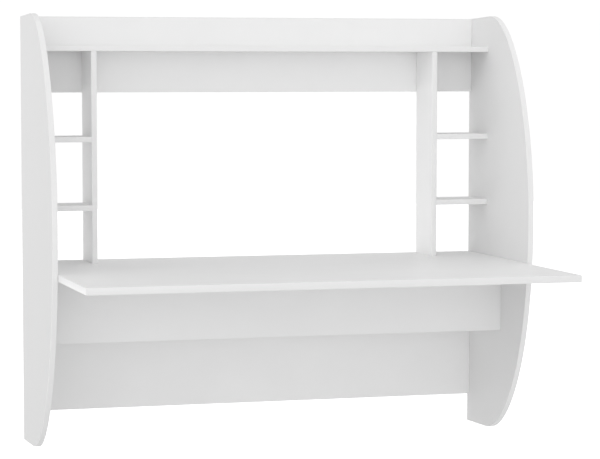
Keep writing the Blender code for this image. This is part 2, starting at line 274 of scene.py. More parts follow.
class GeometryTree(Graph):
    """A Geometry Nodes tree with named inputs, run once to make a plain mesh."""

    KINDS = {
        "number": "NodeSocketFloat",
        "count": "NodeSocketInt",
        "point": "NodeSocketVector",
        "object": "NodeSocketObject",
        "finish": "NodeSocketMaterial",
        "geometry": "NodeSocketGeometry",
    }

    def __init__(self, name: str, inputs: dict[str, str]) -> None:
        """Makes an empty tree.

        Args:
            name: The tree's name.
            inputs: The kind of each named input.
        """
        super().__init__(bpy.data.node_groups.new(name, "GeometryNodeTree"))
        self.tree.is_modifier = True
        face = self.tree.interface
        face.new_socket("Geometry", in_out="OUTPUT", socket_type="NodeSocketGeometry")
        self.identifiers = {
            label: face.new_socket(label, in_out="INPUT", socket_type=self.KINDS[kind]).identifier
            for label, kind in inputs.items()
        }
        self.inlet = self.add("NodeGroupInput")

    def given(self, name: str) -> bpy.types.NodeSocket:
        """The value of one of the tree's named inputs."""
        return self.inlet.outputs[name]

    def end(self, geometry: bpy.types.NodeSocket) -> None:
        """Realises the instances, gives every face the finish, and ends the tree."""
        real = self.add("GeometryNodeRealizeInstances", {"Geometry": geometry})
        inputs = {"Geometry": real.outputs[0], "Material": self.given("Finish")}
        dressed = self.add("GeometryNodeSetMaterial", inputs)
        self.add("NodeGroupOutput", {0: dressed.outputs[0]})

    def make(
        self, name: str, values: dict[str, Any], start: bpy.types.Mesh | None = None
    ) -> bpy.types.Mesh:
        """Runs the tree on a mesh.

        Args:
            name: The new mesh's name.
            values: A value for each named input.
            start: The mesh that the tree starts from, or None for an empty one.

        Returns:
            The result as a plain mesh.
        """
        host = linked(name + "_host", start or bpy.data.meshes.new(name + "_start"))
        modifier = host.modifiers.new("tree", "NODES")
        modifier.node_group = self.tree
        for label, value in values.items():
            modifier[self.identifiers[label]] = value
        mesh = baked(host)
        mesh.name = name
        bpy.data.objects.remove(host)
        return mesh


# Mesh helpers -------------------------------------------------------------------------------------


def linked(name: str, data: bpy.types.ID) -> bpy.types.Object:
    """A new object in the scene's own collection."""
    obj = bpy.data.objects.new(name, data)
    bpy.context.scene.collection.objects.link(obj)
    return obj


def baked(obj: bpy.types.Object) -> bpy.types.Mesh:
    """A plain mesh of the object with its modifiers run."""
    graph = bpy.context.evaluated_depsgraph_get()
    return bpy.data.meshes.new_from_object(obj.evaluated_get(graph), depsgraph=graph)


def mesh_of(bm: bmesh.types.BMesh, name: str) -> bpy.types.Mesh:
    """A mesh made from a bmesh, which is freed."""
    mesh = bpy.data.meshes.new(name)
    bmesh.ops.recalc_face_normals(bm, faces=bm.faces)
    bm.to_mesh(mesh)
    bm.free()
    return mesh


def block(extent: Extent) -> bmesh.types.BMesh:
    """A box as a bmesh."""
    bm = bmesh.new()
    bmesh.ops.create_cube(bm, size=1.0)
    bmesh.ops.scale(bm, vec=extent.size, verts=bm.verts)
    bmesh.ops.translate(bm, vec=extent.middle, verts=bm.verts)
    return bm


def edges_between(
    bm: bmesh.types.BMesh, chosen: Callable[[Vector, Vector], bool]
) -> list[bmesh.types.BMEdge]:
    """The edges whose two faces' normals pass a test."""
    bm.normal_update()
    inner = [edge for edge in bm.edges if len(edge.link_faces) == 2]
    return [edge for edge in inner if chosen(*(face.normal for face in edge.link_faces))]


def round_over(
    bm: bmesh.types.BMesh, radius: float, steps: int, chosen: Callable[[Vector, Vector], bool]
) -> None:
    """Rounds a bmesh's edges.

    Args:
        bm: The bmesh.
        radius: How far each edge is taken back.
        steps: How many faces a rounded edge has.
        chosen: Tells from the normals of an edge's two faces whether it is rounded.
    """
    edges = edges_between(bm, chosen)
    bmesh.ops.bevel(
        bm, geom=edges, offset=radius, segments=steps, profile=0.5, affect="EDGES", material=-1
    )


def lathe(profile: Sequence[tuple[float, float]], steps: int, name: str) -> bpy.types.Mesh:
    """A turned solid.

    Args:
        profile: (radius, height) points from one end of the axis to the other.
        steps: How many sides the solid has.
        name: The mesh's name.

    Returns:
        The solid, with its axis along Z.
    """
    bm = bmesh.new()
    verts = [bm.verts.new((radius, 0, height)) for radius, height in profile]
    edges = [bm.edges.new(pair) for pair in zip(verts, verts[1:])]
    bmesh.ops.spin(
        bm,
        geom=verts + edges,
        axis=(0, 0, 1),
        cent=(0, 0, 0),
        angle=math.tau,
        steps=steps,
        use_merge=True,
    )
    bmesh.ops.remove_doubles(bm, verts=bm.verts, dist=WELD)
    return mesh_of(bm, name)


@dataclass(frozen=True)
class Cutter:
    """A shape that is taken out of a board.

    Attributes:
        extent: The box that the shape fills.
        axis: The axis of a round shape, or None for a box.
        sides: How many sides a round shape has.
        corner: The radius of a box's corners, seen from the wall.
    """

    extent: Extent
    axis: int | None = None
    sides: int = 32
    corner: float = 0.0

    def mesh(self) -> bpy.types.Mesh:
        """The shape as a closed mesh, with every face in the second material place."""
        if self.axis is None:
            bm = block(self.extent)
            if self.corner:
                round_over(bm, self.corner, 6, lambda a, b: max(abs(a.y), abs(b.y)) < ALONG)
        else:
            bm = bmesh.new()
            across = self.extent.size[(self.axis + 1) % 3] / 2
            bmesh.ops.create_cone(
                bm,
                cap_ends=True,
                segments=self.sides,
                radius1=across,
                radius2=across,
                depth=self.extent.size[self.axis],
            )
            turn = Facing((self.axis, 1)).direction.to_track_quat("Z", "Y").to_matrix().to_4x4()
            stand = Matrix.Translation(self.extent.middle) @ turn
            bmesh.ops.transform(bm, matrix=stand, verts=bm.verts)
        for face in bm.faces:
            face.material_index = 1
        return mesh_of(bm, "cutter")


def carve(mesh: bpy.types.Mesh, cutters: Iterable[Cutter | bpy.types.Mesh]) -> bpy.types.Mesh:
    """Takes shapes out of a mesh.

    Args:
        mesh: The mesh to cut.
        cutters: The shapes, each a Cutter or a closed mesh.

    Returns:
        The cut mesh.
    """
    work = linked("work", mesh)
    tools = []
    for cutter in cutters:
        shape = cutter.mesh() if isinstance(cutter, Cutter) else cutter
        while len(shape.materials) < len(mesh.materials):
            shape.materials.append(mesh.materials[len(shape.materials)])
        tools.append(linked("tool", shape))
        modifier = work.modifiers.new("carve", "BOOLEAN")
        modifier.operation = "DIFFERENCE"
        modifier.solver = "EXACT"
        modifier.object = tools[-1]
    result = baked(work)
    result.name = mesh.name
    for obj in (work, *tools):
        bpy.data.objects.remove(obj)
    return result


def smooth(mesh: bpy.types.Mesh, angle: float = 32.0) -> bpy.types.Mesh:
    """Shades a mesh smoothly, with a sharp edge wherever two faces meet past an angle in degrees."""
    mesh.shade_smooth()
    mesh.set_sharp_from_angle(angle=math.radians(angle))
    return mesh


def place(name: str, mesh: bpy.types.Mesh, slot: Slot, nodes: Sequence[str]) -> bpy.types.Object:
    """Puts a finished mesh into the frame.

    Args:
        name: The piece's name.
        mesh: The mesh, already in its place.
        slot: The record's material slot; not used.
        nodes: The CAD nodes that the piece stands for.

    Returns:
        The piece, riding on the frame's body.
    """
    piece = linked(name, mesh)
    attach(piece, "root")
    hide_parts(*nodes)
    LOG.info("%s: %d faces, stands for %s", name, len(mesh.polygons), ", ".join(nodes))
    return piece


# Finishes -----------------------------------------------------------------------------------------


def new_material(name: str, colour: Colour) -> tuple[bpy.types.Material, Graph, bpy.types.Node]:
    """Starts a material.

    Args:
        name: The material's name.
        colour: The colour that it shows in the viewport.

    Returns:
        The material, its graph and its shader.
    """
    material = bpy.data.materials.new(name)
    material.use_nodes = True
    material.node_tree.nodes.clear()
    material.diffuse_color = (*colour, 1.0)
    graph = Graph(material.node_tree)
    shader = graph.add("ShaderNodeBsdfPrincipled")
    graph.add("ShaderNodeOutputMaterial", {"Surface": shader.outputs[0]})
    return material, graph, shader


def dress(graph: Graph, shader: bpy.types.Node, colour: Any, roughness: Any, normal: Any) -> None:
    """Feeds a shader its colour, its roughness and its normal, each a value or an output."""
    for name, value in (("Base Color", colour), ("Roughness", roughness), ("Normal", normal)):
        graph.feed(shader.inputs[name], value)


def shade_of(colour: Colour, by: float) -> tuple[float, float, float, float]:
    """A colour made lighter or darker, with its alpha."""
    return (colour[0] * by, colour[1] * by, colour[2] * by, 1.0)


@dataclass(frozen=True)
class Laminate:
    """White melamine foil pressed on board: a fine pebble in the foil and a faint cloudiness.

    Attributes:
        name: The material's name.
        colour: The foil's colour.
        gloss: The roughness at its smoothest and its roughest.
        pebble: How far apart the pebbles of the foil lie, in metres.
        relief: How high a pebble stands, in metres.
        cloud: How much lighter and darker the foil gets across a board.
        rubbed: How deep the hair scratches of use are, in metres, or 0 for none.
        speck: How light the foil's specks are, as a share of its colour.
        ior: The foil's index of refraction.
    """

    name: str
    colour: Colour
    gloss: tuple[float, float]
    pebble: float = 0.0011
    relief: float = 0.000012
    cloud: float = 0.012
    rubbed: float = 0.0
    speck: float = 0.965
    ior: float = 1.48

    def material(self) -> bpy.types.Material:
        """The finish as a material."""
        material, graph, shader = new_material(self.name, self.colour)
        here = graph.here()
        broad = graph.noise(here, scale=5.5, detail=3.0, roughness=0.6)
        fine = graph.noise(here, scale=240.0, detail=4.0, roughness=0.7)
        worn = graph.noise(here, scale=17.0, detail=5.0, roughness=0.65)
        cloudy = graph.mix_colour(
            graph.ramp(broad, 0.32, 0.68),
            shade_of(self.colour, 1 - self.cloud),
            shade_of(self.colour, 1 + self.cloud / 2),
        )
        specks = graph.ramp(fine, 0.60, 0.78, 0.0, 0.35)
        speckled = graph.mix_colour(specks, cloudy, shade_of(self.colour, self.speck))
        cells = graph.add("ShaderNodeTexVoronoi", {"Vector": here, "Scale": 1 / self.pebble})
        height = graph.ramp(cells.outputs["Distance"], 0.0, 0.8, 1.0, 0.0)
        normal = graph.bump(height, self.relief)
        if self.rubbed:
            normal = self.hairlines(graph, here, normal)
        dress(graph, shader, speckled, graph.ramp(worn, 0.3, 0.7, *self.gloss), normal)
        shader.inputs["IOR"].default_value = self.ior
        return material

    def hairlines(
        self, graph: Graph, here: bpy.types.NodeSocket, under: bpy.types.NodeSocket
    ) -> bpy.types.NodeSocket:
        """Adds the crossed hair scratches of a surface in use.

        Args:
            graph: The material's graph.
            here: The point on the piece.
            under: The normal of the relief that the scratches lie on.

        Returns:
            The normal with the scratches.
        """
        lines = []
        for turn, scale in ((0.35, 70.0), (-0.9, 55.0)):
            inputs = {"Vector": here, "Rotation": (0, 0, turn), "Scale": (1, 26, 1)}
            turned = graph.add("ShaderNodeMapping", inputs).outputs[0]
            lines.append(graph.ramp(graph.noise(turned, scale, detail=1.0), 0.70, 0.74))
        height = graph.math("SUBTRACT", 1.0, graph.math("MAXIMUM", *lines))
        return graph.bump(height, self.rubbed, under)


@dataclass(frozen=True)
class BandStrip:
    """Plastic edge banding: smoother than the boards, with the faint lengthwise marks of its trimming.

    Attributes:
        name: The material's name.
        colour: The strip's colour.
        gloss: The roughness at its smoothest and its roughest.
        ripple: How deep the trimming marks are, in metres.
    """

    name: str
    colour: Colour
    gloss: tuple[float, float] = (0.28, 0.38)
    ripple: float = 0.000006

    def material(self) -> bpy.types.Material:
        """The finish as a material."""
        material, graph, shader = new_material(self.name, self.colour)
        here = graph.here()
        broad = graph.ramp(graph.noise(here, scale=9.0, detail=2.0), 0.3, 0.7)
        tint = graph.mix_colour(broad, shade_of(self.colour, 0.992), shade_of(self.colour, 1.006))
        marks = graph.noise(here, scale=420.0, detail=2.0)
        worn = graph.ramp(marks, 0.3, 0.7, *self.gloss)
        dress(graph, shader, tint, worn, graph.bump(marks, self.ripple))
        return material


@dataclass(frozen=True)
class Chipboard:
    """The bare edge of particle board: coarse chips in the core and fine dust under each face.

    It reads the attribute "through", which runs from -1 at one face of the board to 1 at the other.

    Attributes:
        name: The material's name.
        pale: The lightest chips.
        dark: The darkest chips.
        chip: How long a chip of the core is, in metres.
        bend: How far the chips' edges are bent out of line, in metres.
        gap: How deep the gaps between chips are, in metres.
        roughness: The roughness all over.
    """

    name: str
    pale: Colour
    dark: Colour
    chip: float = 0.0032
    bend: float = 0.002
    gap: float = 0.0002
    roughness: float = 0.85

    def material(self) -> bpy.types.Material:
        """The finish as a material."""
        material, graph, shader = new_material(self.name, self.pale)
        here = graph.here()
        through = graph.add("ShaderNodeAttribute", attribute_name="through").outputs["Fac"]
        core = graph.ramp(graph.math("ABSOLUTE", through), 0.45, 0.75, 1.0, 0.0)
        bend = graph.add("ShaderNodeTexNoise", {"Vector": here, "Scale": 300.0, "Detail": 2.0})
        bent = graph.vector("MULTIPLY", bend.outputs["Color"], (self.bend,) * 3)
        moved = graph.vector("ADD", here, bent)
        coarse = graph.add("ShaderNodeTexVoronoi", {"Vector": moved, "Scale": 1 / self.chip})
        fine = graph.add("ShaderNodeTexVoronoi", {"Vector": here, "Scale": 5 / self.chip})
        shades = []
        for cells in (fine, coarse):
            tone = graph.add("ShaderNodeSeparateColor", {"Color": cells.outputs["Color"]}).outputs[0]
            shades.append(graph.mix_colour(tone, (*self.dark, 1.0), (*self.pale, 1.0)))
        gaps = graph.ramp(coarse.outputs["Distance"], 0.0, 0.7, 1.0, 0.0)
        normal = graph.bump(graph.math("MULTIPLY", gaps, core), self.gap)
        dress(graph, shader, graph.mix_colour(core, *shades), self.roughness, normal)
        return material


@dataclass(frozen=True)
class Metal:
    """A bare or plated metal, with a mottled colour and a worn gloss.

    Attributes:
        name: The material's name.
        bright: The colour where it is clean.
        dull: The colour where it is stained.
        gloss: The roughness at its smoothest and its roughest.
        grain: The size of its marks, in metres.
        relief: How deep they are, in metres.
    """

    name: str
    bright: Colour
    dull: Colour
    gloss: tuple[float, float]
    grain: float
    relief: float

    def material(self) -> bpy.types.Material:
        """The finish as a material."""
        material, graph, shader = new_material(self.name, self.bright)
        here = graph.here()
        stain = graph.noise(here, scale=0.25 / self.grain, detail=4.0)
        marks = graph.noise(here, scale=1 / self.grain, detail=3.0)
        share = graph.ramp(stain, 0.35, 0.65)
        tint = graph.mix_colour(share, (*self.dull, 1.0), (*self.bright, 1.0))
        worn = graph.ramp(marks, 0.3, 0.7, *self.gloss)
        dress(graph, shader, tint, worn, graph.bump(marks, self.relief))
        shader.inputs["Metallic"].default_value = 1.0
        return material


@dataclass(frozen=True)
class Beech:
    """Pale hardwood with short flecks along the grain, which runs up the dowel.

    Attributes:
        name: The material's name.
        pale: The wood between its flecks.
        fleck: The flecks.
        relief: How deep its pores are, in metres.
        roughness: The roughness all over.
    """

    name: str
    pale: Colour
    fleck: Colour
    relief: float = 0.00005
    roughness: float = 0.62

    def material(self) -> bpy.types.Material:
        """The finish as a material."""
        material, graph, shader = new_material(self.name, self.pale)
        here = graph.here()
        long_way = graph.add("ShaderNodeMapping", {"Vector": here, "Scale": (1, 1, 0.12)}).outputs[0]
        grain = graph.noise(long_way, scale=1500.0, detail=4.0)
        share = graph.ramp(grain, 0.45, 0.62)
        tint = graph.mix_colour(share, (*self.pale, 1.0), (*self.fleck, 1.0))
        dress(graph, shader, tint, self.roughness, graph.bump(grain, self.relief))
        return material


@dataclass(frozen=True)
class StudioFloor:
    """A pale studio floor with a painted glow, faint under the desk and strong behind it, so that it
    runs into the backdrop with no line.

    Attributes:
        name: The material's name.
        colour: The floor's colour.
        glow: How much light it gives off itself as a painted glow, under the desk and behind it.
        reach: How far behind the wall's plane the glow's rise starts and ends, in metres.
    """

    name: str
    colour: Colour
    glow: tuple[float, float]
    reach: tuple[float, float]

    def material(self) -> bpy.types.Material:
        """The finish as a material."""
        material, graph, shader = new_material(self.name, self.colour)
        here = graph.here()
        behind = graph.add("ShaderNodeSeparateXYZ", {0: here}).outputs[1]
        # The floor glows with painted light, faint near the desk and strong behind the wall's plane.
        graph.feed(shader.inputs["Emission Strength"], graph.ramp(behind, *self.reach, *self.glow))
        broad = graph.noise(here, scale=0.8, detail=2.0)
        tint = graph.mix_colour(broad, shade_of(self.colour, 0.995), shade_of(self.colour, 1.005))
        graph.feed(shader.inputs["Base Color"], tint)
        shader.inputs["Roughness"].default_value = 0.9
        shader.inputs["Specular IOR Level"].default_value = 0.0
        shader.inputs["Emission Color"].default_value = (1.0, 1.0, 1.0, 1.0)
        return material


class Palette:
    """Every finish of the desk, made once and shared by its pieces."""

    def __init__(self) -> None:
        """Makes the materials."""
        foil, desk_foil, strip = (0.905,) * 3, (0.900,) * 3, (0.885,) * 3
        self.board = Laminate("white_board_foil", foil, (0.42, 0.55)).material()
        desktop = Laminate("white_desktop_foil", desk_foil, (0.36, 0.48), rubbed=0.000004)
        self.desktop = desktop.material()
        self.band = BandStrip("white_edge_strip", strip).material()
        core = Chipboard("chipboard_core", pale=(0.60, 0.45, 0.28), dark=(0.27, 0.17, 0.09))
        self.core = core.material()
        self.zinc = Metal(
            "die_cast_zinc",
            bright=(0.62, 0.63, 0.65),
            dull=(0.46, 0.47, 0.49),
            gloss=(0.38, 0.52),
            grain=0.0008,
            relief=0.00003,
        ).material()
        self.steel = Metal(
            "zinc_plated_steel",
            bright=(0.74, 0.75, 0.77),
            dull=(0.62, 0.64, 0.68),
            gloss=(0.22, 0.36),
            grain=0.0014,
            relief=0.000008,
        ).material()
        beech = Beech("fluted_beech", pale=(0.68, 0.49, 0.31), fleck=(0.50, 0.32, 0.18))
        self.beech = beech.material()


# Boards and bands ---------------------------------------------------------------------------------


def mark_through(mesh: bpy.types.Mesh, axis: int) -> None:
    """Writes how far each point is through a board, from -1 to 1, as the attribute "through"."""
    places = [vert.co[axis] for vert in mesh.vertices]
    low, high = min(places), max(places)
    through = mesh.attributes.new("through", "FLOAT", "POINT")
    through.data.foreach_set("value", [2 * (p - low) / (high - low) - 1 for p in places])


@dataclass
class Board:
    """A flat laminated board with bare chipboard at its hidden edges.

    Attributes:
        node: The CAD node that the board stands for.
        through: The axis that its thickness lies along.
        raw: The edges that show bare chipboard.
        banded: The edges that carry an edge band, which stay square.
        butted: The ends that stand against another board, which stay square and close up to it.
        slot: The record's material slot.
        ease: How far the laminate's corners are eased.
        cutters: The bores and pockets in the board.
    """

    node: str
    through: int
    raw: tuple[Facing, ...]
    banded: tuple[Facing, ...]
    butted: tuple[Facing, ...] = (Facing.LEFT, Facing.RIGHT)
    slot: Slot = Slot.BOARD
    ease: float = 0.00025
    cutters: list[Cutter] = field(default_factory=list)

    def mesh(self, skin: bpy.types.Material, core: bpy.types.Material) -> bpy.types.Mesh:
        """The board's mesh.

        Args:
            skin: The laminate on its faces.
            core: The chipboard of its bare edges and bores.

        Returns:
            The mesh, bored and dressed.
        """
        extent = Extent.of(self.node)
        for side in self.butted:
            extent = extent.drawn_out(side, JOINT_CLOSED)
        bm = block(extent)
        bm.normal_update()
        for face in bm.faces:
            face.material_index = int(any(face.normal.dot(side.direction) > ALONG for side in self.raw))
        square = [side.direction for side in (*self.banded, *self.butted)]

        def is_eased(a: Vector, b: Vector) -> bool:
            """Whether neither of two faces is one that stays square."""
            return not any(max(a.dot(way), b.dot(way)) > ALONG for way in square)

        round_over(bm, self.ease, 2, is_eased)
        mesh = mesh_of(bm, self.node + "_board")
        mesh.materials.append(skin)
        mesh.materials.append(core)
        if self.cutters:
            mesh = carve(mesh, self.cutters)
        mark_through(mesh, self.through)
        return mesh

    def build(self, palette: Palette) -> bpy.types.Object:
        """Puts the board into the frame, dressed from the palette."""
        skin = palette.desktop if self.slot is Slot.DESKTOP else palette.board
        return place(self.node + "_board", self.mesh(skin, palette.core), self.slot, [self.node])


@dataclass
class StraightBand:
    """A straight edge band, glued to one edge of a board, with its outer corners rounded over.

    Attributes:
        node: The CAD node that the band stands for.
        board: The CAD node of its board.
        facing: The way that the band looks.
        through: The axis that the board's thickness lies along.
        butted: The ends that close up to another board.
        corner: The radius of its outer corners.
        free_ends: Whether its ends stand free and are rounded too.
        cutters: The bores through the band.
    """

    node: str
    board: str
    facing: Facing
    through: int
    butted: tuple[Facing, ...] = ()
    corner: float = 0.0006
    free_ends: bool = False
    cutters: list[Cutter] = field(default_factory=list)

    def build(self, palette: Palette) -> bpy.types.Object:
        """Puts the band into the frame, dressed from the palette."""
        inner_way = Facing((self.facing.axis, -self.facing.sign))
        glued = Extent.of(self.board).face(self.facing) + self.facing.sign * GLUE_LINE
        extent = Extent.of(self.node).with_face(inner_way, glued)
        for side in () if self.free_ends else self.butted:
            extent = extent.drawn_out(side, JOINT_CLOSED)
        bm = block(extent)
        outward = self.facing.direction
        across = Facing((self.through, 1)).direction

        def is_outer(a: Vector, b: Vector) -> bool:
            """Whether two faces meet at an outer corner that is rounded."""
            outer = max(a.dot(outward), b.dot(outward)) > ALONG
            return outer and (self.free_ends or max(abs(a.dot(across)), abs(b.dot(across))) > ALONG)

        round_over(bm, self.corner, 4, is_outer)
        name = self.node.removesuffix("_band") + "_strip"
        mesh = mesh_of(bm, name)
        mesh.materials.append(palette.band)
        if self.cutters:
            mesh = carve(mesh, self.cutters)
        return place(name, smooth(mesh), Slot.BAND, [self.node])


def banded_board(board: Board, bands: dict[str, Facing], palette: Palette) -> None:
    """Builds a board and the straight bands on its edges.

    Args:
        board: The board.
        bands: The way that each band's CAD node looks.
        palette: The finishes.
    """
    board.build(palette)
    for node, facing in bands.items():
        StraightBand(node, board.node, facing, board.through, board.butted).build(palette)


# Fittings -----------------------------------------------------------------------------------------


@dataclass(frozen=True)
class CamJoint:
    """One kind of cam joint, made once at each side panel.

    Attributes:
        name: What the joint's CAD nodes are called.
        board: The board that the cam is let into.
        facing: The way that the cam's open face looks.
    """

    name: str
    board: str
    facing: Facing

    def cam(self, side: str) -> str:
        """The CAD node of the cam on one side."""
        return f"cam_{self.name}_{side}"

    def bolt(self, side: str) -> str:
        """The CAD node of the bolt on one side."""
        return f"cam_bolt_{self.name}_{side}"

    def bolt_bore(self, side: str) -> Cutter:
        """The bore that the bolt lies in."""
        return Cutter(Extent.of(self.bolt(side)).grown(CLEARANCE), axis=0, sides=24)

    def pocket(self, side: str) -> Cutter:
        """The pocket that the cam lies in, open to its own side."""
        grown = Extent.of(self.cam(side)).grown(CLEARANCE)
        return Cutter(grown.drawn_out(self.facing, 2 * PAST_FACE), self.facing.axis)


CAM_JOINTS = (
    CamJoint("top_shelf", "top_shelf", Facing.DOWN),
    CamJoint("desktop", "desktop", Facing.DOWN),
    CamJoint("modesty", "modesty_panel", Facing.WALL),
    CamJoint("upper_back", "upper_back_panel", Facing.WALL),
    CamJoint("lower_back", "lower_back_panel", Facing.WALL),
)


def cam_cutters(board: str) -> list[Cutter]:
    """The bores and pockets that a board's cam joints need."""
    cutters = []
    for joint in CAM_JOINTS:
        if joint.board == board:
            for side in SIDES:
                cutters += [joint.bolt_bore(side), joint.pocket(side)]
    return cutters


def dowel_cutters(sides: Iterable[str], places: Iterable[str]) -> list[Cutter]:
    """The bores of the dowels at the head ("top") or the foot of the dividers."""
    return [
        Cutter(Extent.of(f"dowel_{side}_{where}").grown(CLEARANCE), axis=2, sides=24)
        for side in sides
        for where in places
    ]


def crossed_slots(reach: float, half_width: float, depth: float) -> list[Cutter]:
    """The two slots of a cross recess, cut down from z = 0.

    Args:
        reach: How far each slot reaches from the middle.
        half_width: Half a slot's width.
        depth: How deep the slots are.

    Returns:
        Both slots.
    """
    sizes = ((reach, half_width), (half_width, reach))
    return [Cutter(Extent.between((-x, -y, -depth), (x, y, PAST_FACE))) for x, y in sizes]


class Scatter:
    """Sets copies of one fitting at many points, by a Geometry Nodes tree."""

    def __init__(self) -> None:
        """Builds the tree."""
        inputs = {"Points": "geometry", "Fitting": "object", "Size": "number", "Finish": "finish"}
        tree = self.tree = GeometryTree("set_fittings", inputs)
        fitting = tree.add("GeometryNodeObjectInfo", {"Object": tree.given("Fitting")})
        turn = tree.add("GeometryNodeInputNamedAttribute", {"Name": "turn"}, data_type="FLOAT_VECTOR")
        copies = tree.add(
            "GeometryNodeInstanceOnPoints",
            {
                "Points": tree.given("Points"),
                "Instance": fitting.outputs["Geometry"],
                "Rotation": turn.outputs["Attribute"],
                "Scale": tree.given("Size"),
            },
        )
        tree.end(copies.outputs[0])

    def build(
        self,
        name: str,
        fitting: bpy.types.Mesh,
        spots: Sequence[tuple[Vector, Matrix]],
        finish: bpy.types.Material,
        slot: Slot,
        nodes: Sequence[str],
    ) -> bpy.types.Object:
        """Puts the copies into the frame as one piece.

        Args:
            name: The piece's name.
            fitting: One fitting, at the origin.
            spots: Where each copy goes and how it is turned.
            finish: Its material.
            slot: The record's material slot.
            nodes: The CAD nodes that the copies stand for.

        Returns:
            The piece.
        """
        points = bpy.data.meshes.new(name + "_points")
        points.from_pydata([spot for spot, _ in spots], [], [])
        turns = points.attributes.new("turn", "FLOAT_VECTOR", "POINT")
        turns.data.foreach_set("vector", [angle for _, turn in spots for angle in turn.to_euler()])
        source = linked(name + "_source", fitting)
        values = {"Fitting": source, "Size": 1.0, "Finish": finish}
        mesh = self.tree.make(name, values, points)
        bpy.data.objects.remove(source)
        return place(name, smooth(mesh), slot, nodes)


def upright(facing: Vector, across: Vector) -> Matrix:
    """A turn that takes Z to one direction and X to another at right angles to it."""
    return Matrix((across, facing.cross(across), facing)).transposed()


@dataclass
class CamFittings:
    """The zinc cams and the steel bolts that draw the boards against the side panels.

    Attributes:
        scatter: The tree that sets the copies.
        rim: The width of the flat rim round a cam's open face.
        lip: The chamfer of the rim's outer corner.
        chamfer: The chamfer of the cam's foot.
        slope: How wide each sloped side of the groove inside the rim is.
        groove: How wide the groove's floor is.
        recess: How far the groove's floor lies back.
        slot_length: The length of the crossed driver slots.
        slot_width: Their width.
        slot_depth: Their depth below the face.
        pointer: The reach inside the rim, the width and the depth of the notch that points at the bolt.
        throat: The radius of the bore that the bolt comes in by.
        crests: How many ridges the bolt's thread has.
        root: The radius between the ridges, as a share of the bolt's own.
        runout: How far past the last ridge the plain shank starts.
        neck: The outline from the shank's end to the head's top: each point's radius as a share of the
            bolt's own, and how far below the top it lies.
    """

    scatter: Scatter
    rim: float = 0.0009
    lip: float = 0.0003
    chamfer: float = 0.0004
    slope: float = 0.0002
    groove: float = 0.0009
    recess: float = 0.0004
    slot_length: float = 0.0074
    slot_width: float = 0.0013
    slot_depth: float = 0.0022
    pointer: Point = (0.0022, 0.0008, 0.0009)
    throat: float = 0.0028
    crests: int = 3
    root: float = 0.72
    runout: float = 0.0003
    neck: tuple[tuple[float, float], ...] = (
        (1.0, 0.0065),
        (0.6, 0.006),
        (0.6, 0.003),
        (1.0, 0.0025),
        (1.0, 0.0008),
        (0.85, 0.0002),
        (0.6, 0.0),
    )

    def cam(self, radius: float, length: float, bolt_depth: float) -> bpy.types.Mesh:
        """One cam, with its open face up at z = 0 and its bolt coming in along X.

        Args:
            radius: The cam's radius.
            length: Its length.
            bolt_depth: How far below the open face the bolt's axis lies.

        Returns:
            The cam's mesh.
        """
        inside = radius - self.rim
        floor_in = inside - self.slope - self.groove
        hub = -self.recess / 4
        profile = [
            (0.0, -length),
            (radius - self.chamfer, -length),
            (radius, -length + self.chamfer),
            (radius, -self.lip),
            (radius - self.lip, 0.0),
            (inside, 0.0),
            (inside - self.slope, -self.recess),
            (floor_in, -self.recess),
            (floor_in - self.slope, hub),
            (0.0, hub),
        ]
        long, wide, deep = self.pointer
        pointer = Extent.between(
            (inside - long, -wide / 2, -deep), (radius + PAST_FACE, wide / 2, PAST_FACE)
        )
        low, high = -bolt_depth - self.throat, -bolt_depth + self.throat
        throat = Extent.between((0.0, -self.throat, low), (radius * 2, self.throat, high))
        slots = crossed_slots(self.slot_length / 2, self.slot_width / 2, self.slot_depth)
        return carve(lathe(profile, 48, "cam"), [*slots, Cutter(pointer), Cutter(throat, axis=0)])

    def bolt(self, radius: float, length: float, thread: float) -> bpy.types.Mesh:
        """One bolt, with its threaded tip at the origin and its head up the Z axis.

        Args:
            radius: The bolt's radius.
            length: Its length.
            thread: How much of it is threaded.

        Returns:
            The bolt's mesh.
        """
        pitch = thread / self.crests
        profile = [(0.0, 0.0), (radius * self.root, 0.0)]
        for turn in range(self.crests):
            profile += [(radius, (turn + 0.5) * pitch), (radius * self.root, (turn + 1) * pitch)]
        profile.append((radius, thread + self.runout))
        profile += [(radius * share, length - below) for share, below in self.neck]
        profile.append((0.0, length))
        return lathe(profile, 24, "bolt")

    def build(self, palette: Palette) -> None:
        """Puts the cams and the bolts into the frame."""
        on_desktop = [joint for joint in CAM_JOINTS if joint.board == "desktop"]
        on_thin_board = [joint for joint in CAM_JOINTS if joint.board != "desktop"]
        for label, joints in (("desktop", on_desktop), ("thin_board", on_thin_board)):
            spots, nodes = [], []
            for joint in joints:
                for side, sign in SIDES.items():
                    spot = Extent.of(joint.cam(side)).middle_of(joint.facing)
                    spots.append((spot, upright(joint.facing.direction, Vector((sign, 0, 0)))))
                    nodes.append(joint.cam(side))
            sample = joints[0]
            cam, bolt = Extent.of(sample.cam("left")), Extent.of(sample.bolt("left"))
            axis = sample.facing.axis
            depth = abs(cam.face(sample.facing) - bolt.middle[axis])
            mesh = self.cam(cam.size.x / 2, cam.size[axis], depth)
            self.scatter.build(f"{label}_cams", mesh, spots, palette.zinc, Slot.CAM, nodes)
        spots, nodes = [], []
        for joint in CAM_JOINTS:
            for side, sign in SIDES.items():
                tip = Extent.of(joint.bolt(side)).middle_of(Facing((0, sign)))
                spots.append((tip, upright(Vector((-sign, 0, 0)), Vector((0, 0, 1)))))
                nodes.append(joint.bolt(side))
        bolt = Extent.of(CAM_JOINTS[0].bolt("left"))
        thread = Extent.of("side_panel_left").face(Facing.RIGHT) - bolt.face(Facing.LEFT)
        mesh = self.bolt(bolt.size.y / 2, bolt.size.x, thread)
        self.scatter.build("cam_bolts", mesh, spots, palette.steel, Slot.BOLT, nodes)


